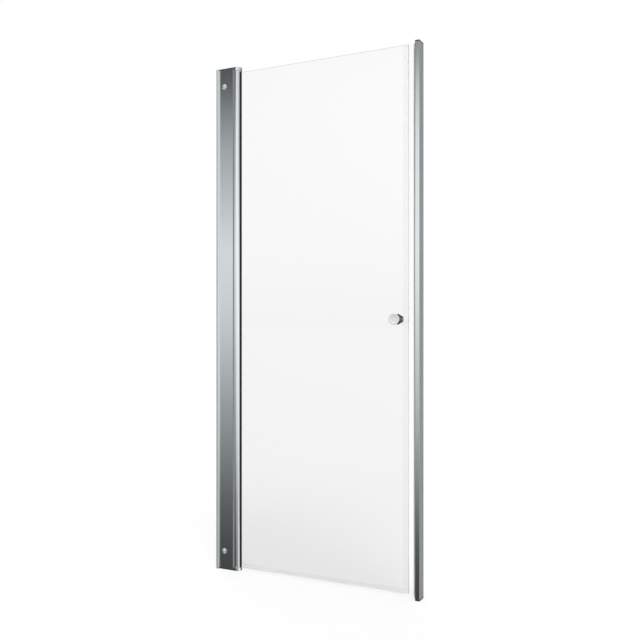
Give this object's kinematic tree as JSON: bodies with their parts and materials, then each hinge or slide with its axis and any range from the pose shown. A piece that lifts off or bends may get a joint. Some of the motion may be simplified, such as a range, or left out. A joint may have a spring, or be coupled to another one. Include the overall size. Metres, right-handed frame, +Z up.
{
  "type": "shower door",
  "caption": "Frameless glass pivot shower door for a niche, with two aluminium wall profiles, a round turning post and a round knob.",
  "frame": {"origin": "on the hinge side wall plane, in the middle of the profiles' depth, at the level of the tray under the profiles", "axes": "+X along the closed door from the hinge wall to the strike wall, -Y outside towards the user and the outer knob, +Y into the shower, +Z up along the door"},
  "size_m": [0.8, 0.0621, 1.8644],
  "materials": {
    "bright_aluminium": "bright anodised, polished along the extrusion",
    "chrome": "polished chrome plating",
    "clear_glass": "clear toughened glass, ground edges",
    "black_rubber": "matt",
    "black_plastic": "fine moulded grain",
    "clear_pvc": "clear, soft",
    "white_acetal": "smooth",
    "magnet": "white coated magnet strip",
    "stainless_steel": "plain"
  },
  "bodies": {
    "frame": {"hinge_wall_profile": "bright_aluminium", "hinge_carrier_profile": "bright_aluminium", "hinge_profile_cap_top": "black_plastic", "hinge_profile_cap_bottom": "black_plastic", "hinge_bracket_top": "chrome", "hinge_bracket_bottom": "chrome", "hinge_bush_top": "white_acetal", "hinge_bush_bottom": "white_acetal", "bracket_screws": "stainless_steel", "adjusting_screws": "stainless_steel", "adjusting_washers": "stainless_steel", "adjusting_nuts": "stainless_steel", "post_wiper_seals": "black_rubber", "strike_wall_profile": "bright_aluminium", "strike_insert_profile": "bright_aluminium", "strike_magnet_housing": "clear_pvc", "strike_magnet": "magnet", "strike_insert_screws": "stainless_steel", "strike_profile_cap_top": "black_plastic", "strike_profile_cap_bottom": "black_plastic"},
    "leaf": {"hinge_post": "bright_aluminium", "pivot_plug_top": "chrome", "pivot_plug_bottom": "chrome", "plug_screws": "stainless_steel", "glazing_gasket": "black_rubber", "glass_panel": "clear_glass", "magnetic_seal": "clear_pvc", "seal_magnet": "magnet", "drip_seal": "clear_pvc", "knob_outer": "chrome", "knob_inner": "chrome", "knob_stud": "stainless_steel", "knob_washers": "clear_pvc", "knob_sleeve": "clear_pvc"}
  },
  "joints": [
    {"name": "door_swing", "type": "hinge", "parent": "frame", "child": "leaf", "pos_m": [0.0805, 0, 0], "axis": [0, 0, -1], "range_deg": [0, 90]}
  ]
}
